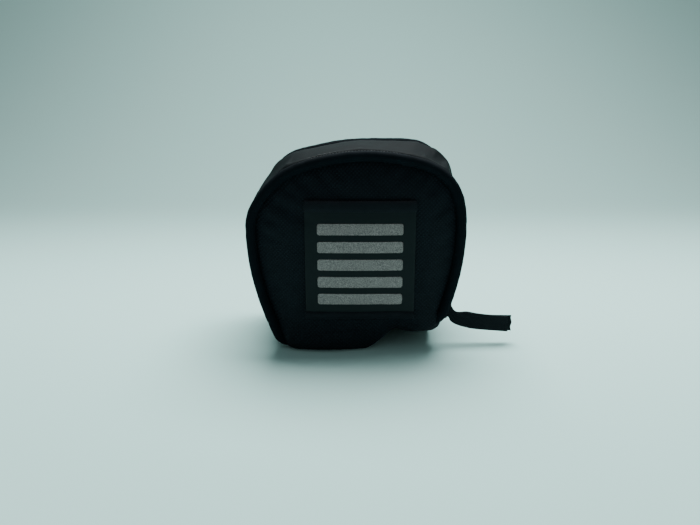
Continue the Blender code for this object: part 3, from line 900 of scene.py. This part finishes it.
def make_base():
    """The base's outer fabric and the base's lining."""
    front, back = FRONT_SEAM_Y - 0.6 * MM, BACK_SEAM_Y + 0.4 * MM
    rows = 40
    outer = [(BASE_INSET, front + (back - front) * k / rows) for k in range(rows + 1)]
    lobe = under_lobe()[BASE]
    obj = loft("base_outer", outer, BASE, relief=lambda u, v: -seam_tuck(lobe, v))
    thicken(obj, FABRIC_THICKNESS)
    bend_with_flap(obj, COATED, "base_shell")
    inside_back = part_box("base_lining")[1][1]
    inside_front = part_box("base_lining")[0][1]
    inner = [(3.6 * MM, inside_front + (inside_back - inside_front) * k / rows) for k in range(rows + 1)]
    across = np.abs(np.linspace(-1.0, 1.0, len(BASE)))
    turned_up = 2.2 * MM * smooth((across - 0.88) / 0.12)

    def lining_relief(u, v):
        return -0.15 * MM * ripple(u, v, 12.0 * MM, 71) - turned_up

    lining = loft("base_inside", inner, BASE, relief=lining_relief)
    thicken(lining, 1.2 * MM)
    finish_piece(lining, "shell", "lining_fabric", LINING, "base_lining", "base_board")


def seam_tuck(lobe, v):
    """How far fabric is drawn in, a distance v behind the flap's bottom seam, to meet the tucked piping."""
    return LOBE_TUCK * lobe * smooth(1.0 - v / (6.0 * MM))


def bend_with_flap(obj, material, node):
    """Fabric that crosses the flap's bottom seam: gives it its material, bakes its place into its points and
    hides its CAD node.
    """
    obj.data.materials.append(material)
    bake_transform(obj)
    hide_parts(node)


def make_corner_tabs():
    """The two tabs that close the corners below the zip's ends."""
    points, _ = outline(ZIP_Y)
    low = points[:, 1] <= ZIP_END_Z + 4.2 * MM
    right = np.array([c for c in range(0, SIDE_COLUMNS) if low[c]])
    left = np.array([c for c in range(SIDE_COLUMNS, 2 * SIDE_COLUMNS + 1) if low[c]])
    front, back = FRONT_SEAM_Y - 0.5 * MM, GUSSET_FRONT_Y + 2.0 * MM
    bands = 10
    profile = [(TAB_INSET, front + (back - front) * k / bands) for k in range(bands + 1)]
    above_base = points[:, 1] - raised_by(points[:, 0]) * raised_share(ZIP_Y)
    to_base = (TAB_INSET - BASE_INSET) * smooth(1.0 - above_base / (7.0 * MM))
    for side, columns, node in (("right", right, "zip_end_tab_right"), ("left", left, "zip_end_tab_left")):
        lobe = under_lobe()[columns]
        outwards = to_base[columns]
        obj = loft(
            "corner_tab_" + side,
            profile,
            columns,
            relief=lambda u, v, lobe=lobe, outwards=outwards: outwards - seam_tuck(lobe, v),
        )
        thicken(obj, FABRIC_THICKNESS)
        bend_with_flap(obj, COATED, node)


# ------------ patch


class PanelSurface:
    """Finds the flap face's depth at a place seen from the front."""

    def __init__(self, panel):
        graph = bpy.context.evaluated_depsgraph_get()
        self.tree = BVHTree.FromObject(panel, graph)

    def depth(self, x, z):
        hit, _, _, _ = self.tree.ray_cast(Vector((x, -0.2, z)), Vector((0.0, 1.0, 0.0)))
        return hit.y


def bowed(u, v):
    """The share of the patch's bow at (u, v), each from -0.5 to 0.5 across the patch."""
    return np.cos(math.pi * v) * (1.0 - 0.35 * (2.0 * u) ** 2)


def on_panel(name, surface, centre, size, offset, columns, rows, rounding=0.0, bow=0.0):
    """A thin rectangle laid over the flap's face, at an offset in front of it. rounding rounds its corners, and
    bow lets its middle stand off the face."""
    across = np.linspace(-0.5, 0.5, columns + 1)
    up = np.linspace(-0.5, 0.5, rows + 1)
    if rounding:
        up = 0.5 * np.sin(up * math.pi)
    verts, uvs = [], []
    for v in up:
        z = centre[1] + v * size[1]
        edge = max(0.0, rounding - (0.5 - abs(v)) * size[1])
        narrowing = rounding - math.sqrt(max(0.0, rounding**2 - edge**2))
        width = size[0] - 2.0 * narrowing
        for u in across:
            x = centre[0] + u * width
            verts.append((x, surface.depth(x, z) - offset - bow * bowed(u, v), z))
            uvs.append((x / MM, z / MM))
    return mesh_object(name, verts, grid_faces(rows + 1, columns + 1), uvs)


def make_patch(panel):
    """The coated patch, its top and bottom bindings with their stitches, and the reflective stripes on it."""
    bpy.context.view_layer.update()
    surface = PanelSurface(panel)
    centre = (PATCH_CENTRE_X, PATCH_CENTRE_Z)
    patch = on_panel("patch", surface, centre, (PATCH_WIDTH, PATCH_HEIGHT), 0.55 * MM, 60, 66, bow=PATCH_BOW)
    thicken(patch, 0.45 * MM, 1.0)
    finish_piece(patch, "flap", "coated_fabric", PATCH_CLOTH, "front_patch")
    for end, direction in (("top", 1), ("bottom", -1)):
        node = f"patch_{end}_binding"
        low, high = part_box(node)
        height = high[2] - low[2]
        middle = (PATCH_CENTRE_X, PATCH_CENTRE_Z + 0.5 * direction * (PATCH_HEIGHT - height))
        size = (PATCH_WIDTH + 0.5 * MM, height + 0.3 * MM)
        band = on_panel(f"patch_{end}_band", surface, middle, size, 1.2 * MM, 70, 8, rounding=0.35 * MM)
        round_band(band, middle[1], size[1])
        thicken(band, 0.5 * MM, 1.0)
        finish_piece(band, "flap", "woven_fabric", BINDING, node)
        make_band_stitches(end, surface, middle, direction, height)
    for number in range(1, 6):
        make_stripe(number, surface)


def round_band(band, middle_z, height):
    """Rolls a band's long edges back, as the edge of a folded binding does."""
    points = coordinates(band)
    away = np.abs(points[:, 2] - middle_z) / (0.5 * height)
    points[:, 1] += 0.45 * MM * away**4
    set_coordinates(band, points)


def make_band_stitches(end, surface, middle, direction, height):
    z = middle[1] - direction * (0.5 * height - 0.8 * MM)
    xs = np.linspace(middle[0] - 0.48 * PATCH_WIDTH, middle[0] + 0.48 * PATCH_WIDTH, 60)
    points = np.array([(x, surface.depth(x, z) - 1.22 * MM, z) for x in xs])
    normals = np.tile([0.0, -1.0, 0.0], (len(xs), 1))
    stitch_row(f"patch_{end}_stitches", points, normals, 2.3 * MM, 1.8 * MM, 0.15 * MM, "flap")


def make_stripe(number, surface):
    node = f"reflective_stripe_{number}"
    low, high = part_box(node)
    centre = (0.5 * (low[0] + high[0]), 0.5 * (low[2] + high[2]))
    size = (high[0] - low[0], high[2] - low[2])
    stripe = on_panel(f"stripe_{number}", surface, centre, size, 1.0 * MM, 56, 10, rounding=0.9 * MM)
    patch_bow(stripe)
    thicken(stripe, 0.12 * MM, 1.0)
    finish_piece(stripe, "flap", "reflective_film", SILVER, node)


def patch_bow(piece):
    """Moves a piece that lies on the patch out with the patch's own bow."""
    points = coordinates(piece)
    v = (points[:, 2] - PATCH_CENTRE_Z) / PATCH_HEIGHT
    u = (points[:, 0] - PATCH_CENTRE_X) / PATCH_WIDTH
    points[:, 1] -= PATCH_BOW * bowed(u, v)
    set_coordinates(piece, points)


# ------------ slider and ribbon


def track_matrix():
    """The slider's own frame at the bail: X outwards from the zip, Y across it and Z along it."""
    along = BAIL_AXIS
    across = Vector((0.0, 1.0, 0.0))
    out = across.cross(along).normalized()
    matrix = Matrix((out, across, along)).transposed().to_4x4()
    matrix.translation = BAIL
    return matrix


def placed(obj, matrix):
    """Moves a mesh object's points from the slider's frame into the row frame."""
    obj.data.transform(matrix)
    return obj


def slider_plate(name, x, thickness, scale):
    """A slider's plate: shield-shaped, widest at the end where the two halves of the zip go in."""
    stations = ((-4.4, 1.7), (-3.7, 2.6), (-1.8, 2.9), (0.4, 3.0), (2.2, 3.7), (3.6, 4.0), (4.4, 2.9))
    verts = []
    for level in (x - 0.5 * thickness, x + 0.5 * thickness):
        for along, half in stations:
            for side in (-1.0, -0.5, 0.0, 0.5, 1.0):
                verts.append((level, side * half * scale * MM, along * scale * MM))
    count, width = len(stations), 5
    level = grid_faces(count, width)
    faces = [tuple(f) for f in level] + [tuple(f) for f in (level + count * width)[:, ::-1]]
    rim = [r * width for r in range(count)] + [(count - 1) * width + c for c in range(1, width)]
    rim += [r * width + width - 1 for r in reversed(range(count - 1))] + list(range(width - 2, 0, -1))
    for here, ahead in zip(rim, rim[1:] + rim[:1]):
        faces.append((here, ahead, ahead + count * width, here + count * width))
    obj = mesh_object(name, verts, faces)
    bevel = obj.modifiers.new("Rounded", "BEVEL")
    bevel.width = 0.22 * MM
    bevel.segments = 2
    bevel.limit_method = "ANGLE"
    subdivide(obj)
    return obj


def make_slider():
    """The slider's plates, above and below the chain, and its bail."""
    matrix = track_matrix()
    plate = placed(slider_plate("slider_top_plate", -PLATE_DEPTH, 1.0 * MM, 1.0), matrix)
    finish_piece(plate, "slider", "black_metal", PAINTED, "zip_slider")
    keel = placed(slider_plate("slider_under_plate", -PLATE_DEPTH - PLATE_GAP, 0.9 * MM, 0.9), matrix)
    finish_piece(keel, "slider", "black_metal", PAINTED)
    finish_piece(placed(slider_bail(), matrix), "slider", "black_metal", PAINTED)


def slider_bail():
    """The bridge over the slider's plate that the ribbon goes through."""
    reach, radius = 3.5 * MM, 0.5 * MM
    steps, sides = 24, 10
    verts = []
    for k in range(steps + 1):
        turn = math.pi * k / steps
        rounded = math.copysign(abs(math.cos(turn)) ** 0.55, math.cos(turn))
        z = -reach * rounded
        x = PLATE_DEPTH * (math.sin(turn) ** 0.45 - 1.0)
        ahead = math.pi * (k + 0.5) / steps if k < steps else math.pi
        for side in range(sides):
            a = 2.0 * math.pi * side / sides
            lean_out = abs(math.cos(turn)) ** 2.0
            verts.append(
                (
                    x + radius * math.cos(a) * (1.0 - 0.6 * lean_out),
                    radius * math.sin(a) * 1.1,
                    z + radius * math.cos(a) * 0.8 * math.copysign(lean_out, ahead - 0.5 * math.pi),
                )
            )
    faces = [tuple(f) for f in grid_faces(steps + 1, sides, closed_columns=True)]
    faces.append(tuple(reversed(range(sides))))
    faces.append(tuple(steps * sides + k for k in range(sides)))
    return mesh_object("slider_bail", verts, faces)


def make_ribbon():
    """The ribbon pull: one strip of webbing folded round the bail. Its two layers lie together, pleated where
    the bail pinches them, and the rear layer is the longer one."""
    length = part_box("pull_ribbon")[1][0] - BAIL.x
    ends = {1: length, -1: length - RIBBON_SHORTER}
    steps, fold_steps, rows = 48, 10, 18
    start = RIBBON_START
    stations = [(ends[1] + (start - ends[1]) * k / steps, 1, None) for k in range(steps)]
    stations += [(0.0, 0, math.radians(70.0 + 220.0 * k / fold_steps)) for k in range(fold_steps + 1)]
    stations += [(start + (ends[-1] - start) * k / steps, -1, None) for k in range(1, steps + 1)]
    verts, uvs = [], []
    for number, (x, side, turn) in enumerate(stations):
        for row in range(rows + 1):
            v = 2.0 * row / rows - 1.0
            verts.append(ribbon_point(x, side, turn, v, ends))
            uvs.append((0.5 * number, 3.5 * v))
    obj = mesh_object("ribbon_pull", verts, grid_faces(len(stations), rows + 1), uvs)
    points = coordinates(obj)
    turn_to_track = np.array(track_matrix().to_3x3())
    free = smooth(points[:, 0] / (8.0 * MM))[:, None]
    set_coordinates(obj, (points @ turn_to_track.T) * (1.0 - free) + points * free)
    obj.data.transform(Matrix.Translation(BAIL))
    thicken(obj, 0.5 * MM, 0.0)
    finish_piece(obj, "ribbon", "webbing", WEBBING, "pull_ribbon")


def ribbon_point(x, side, turn, v, ends):
    """A point of the ribbon from the bail, at x along it and v across it. side is 1 on the rear layer and -1 on
    the front one, and turn is the angle round the bail on the fold between them."""
    spread = float(smooth((x - 0.5 * MM) / (9.0 * MM)))
    half = (2.3 + 1.15 * spread) * MM
    if turn is not None:
        return RIBBON_FOLD_RADIUS * math.cos(turn), 0.8 * RIBBON_FOLD_RADIUS * math.sin(turn), half * v
    pinch = math.exp(-x / (4.5 * MM))
    apart = 0.48 * MM + (0.75 if side > 0 else 0.15) * MM * float(smooth((x / ends[1] - 0.55) / 0.45))
    y = side * apart + 0.32 * MM * pinch * math.sin(2.0 * math.pi * (1.5 * v + x / (8.0 * MM)))
    y += 0.20 * MM * spread * math.sin(x / (6.0 * MM) + 0.5 * side)
    y += 0.14 * MM * v * math.sin(x / (3.7 * MM))
    hang = -4.2 * MM * (1.0 - math.exp(-x / (4.5 * MM))) - 0.06 * x
    frayed = 0.22 * MM * math.sin(5.0 * v + side) if abs(x - ends[side]) < 0.1 * MM else 0.0
    edge = 0.12 * MM * v * math.sin(x / (5.0 * MM) + side)
    return x + frayed, y, half * v + hang + edge


# ------------ small parts kept from the CAD


def make_kept_nodes():
    """The zip's stops keep their CAD shape."""
    for node in ("zip_stop_right", "zip_stop_left"):
        obj = frame["nodes"][node]
        obj.data.materials.clear()
        obj.data.materials.append(PAINTED)


# ------------ setting


def make_backdrop():
    """A pale sheet: the floor, a wide sweep and a wall. Its colour carries painted shade, darker towards the
    back where the light falls off.
    """
    floor_front, sweep_start, sweep_radius, wall_top, half_width = -1.2, 0.26, 0.36, 1.8, 3.0
    steps = 24
    path = [(floor_front, 0.0), (sweep_start, 0.0)]
    for k in range(1, steps + 1):
        a = 0.5 * math.pi * k / steps
        path.append((sweep_start + sweep_radius * math.sin(a), sweep_radius * (1.0 - math.cos(a))))
    path.append((sweep_start + sweep_radius, wall_top))
    verts = [(x, y, z) for y, z in path for x in (-half_width, half_width)]
    obj = mesh_object("backdrop", verts, grid_faces(len(path), 2))
    s = Shader("pale_backdrop", (0.398, 0.611, 0.578), 0.85, specular=0.1)
    place = s.nodes.new("ShaderNodeSeparateXYZ")
    s.links.new(s.place(), place.inputs[0])
    # Painted shade: the colour is lightest on the floor by the pouch and darkens to about half towards the
    # sweep and the wall.
    painted_backdrop_shade = s.node("ShaderNodeMapRange", Value=place.outputs["Y"], From_Min=0.31, From_Max=0.0)
    painted_backdrop_shade.interpolation_type = "SMOOTHSTEP"
    s.mottle(painted_backdrop_shade.outputs[0], 0.34)
    obj.data.materials.append(s.material)


def add_area(name, place, target, size, power, colour):
    light = bpy.data.lights.new(name, "AREA")
    light.shape = "RECTANGLE"
    light.size, light.size_y = size
    light.energy = power
    light.color = colour
    obj = add_object(name, light)
    obj.location = place
    obj.rotation_euler = (Vector(target) - Vector(place)).to_track_quat("-Z", "Y").to_euler()


def make_lights():
    """One wide light above and a little behind, and an even pale world."""
    add_area("overhead_light", (0.05, 0.22, 0.55), (0.0, 0.03, 0.0), (0.55, 0.36), 9.2, (0.94, 1.0, 1.0))
    world = bpy.data.worlds.new("studio")
    world.use_nodes = True
    background = world.node_tree.nodes["Background"].inputs
    background["Color"].default_value = (0.86, 0.97, 1.0, 1.0)
    background["Strength"].default_value = 0.21
    bpy.context.scene.world = world


def make_camera():
    """A phone's main lens, 270 mm from the flap's face, looking down 16 degrees."""
    pitch = math.radians(16.0)
    distance = 270.0 * MM
    aim = Vector((-2.45 * MM, PIPING_LOW[1], 38.5 * MM))
    data = bpy.data.cameras.new("camera")
    data.sensor_width = 36.0
    data.lens = 33.94
    data.clip_start = 0.01
    camera = add_object("camera", data)
    camera.location = aim + distance * Vector((0.0, -math.cos(pitch), math.sin(pitch)))
    camera.rotation_euler = (0.5 * math.pi - pitch, 0.0, 0.0)
    bpy.context.scene.camera = camera


make_camera()
make_backdrop()
make_lights()
flap_face = make_front_face()
flap_lining_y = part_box("front_lining")[1][1] - 0.2 * MM
make_panel_lining("flap_lining", flap_lining_y, -1, "flap", FRONT_SEAM_Y, "front_lining")
make_piping("flap_piping", PIPING_Y, "flap", "front_piping", 83, tucked=LOBE_TUCK)
make_back_face()
back_lining_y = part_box("back_lining")[0][1] + 0.2 * MM
make_panel_lining("back_inside", back_lining_y, 1, "shell", BACK_SEAM_Y, "back_lining")
make_piping("back_edge_piping", -PIPING_Y, "shell", "back_piping", 89)
make_gusset()
make_gusset_lining()
make_back_binding()
make_tapes()
make_coil("flap_zip_coil", -1, "flap", "front_zip_coil")
make_coil("body_zip_coil", 1, "shell", "rear_zip_coil")
make_base()
make_corner_tabs()
make_patch(flap_face)
make_slider()
make_ribbon()
make_kept_nodes()
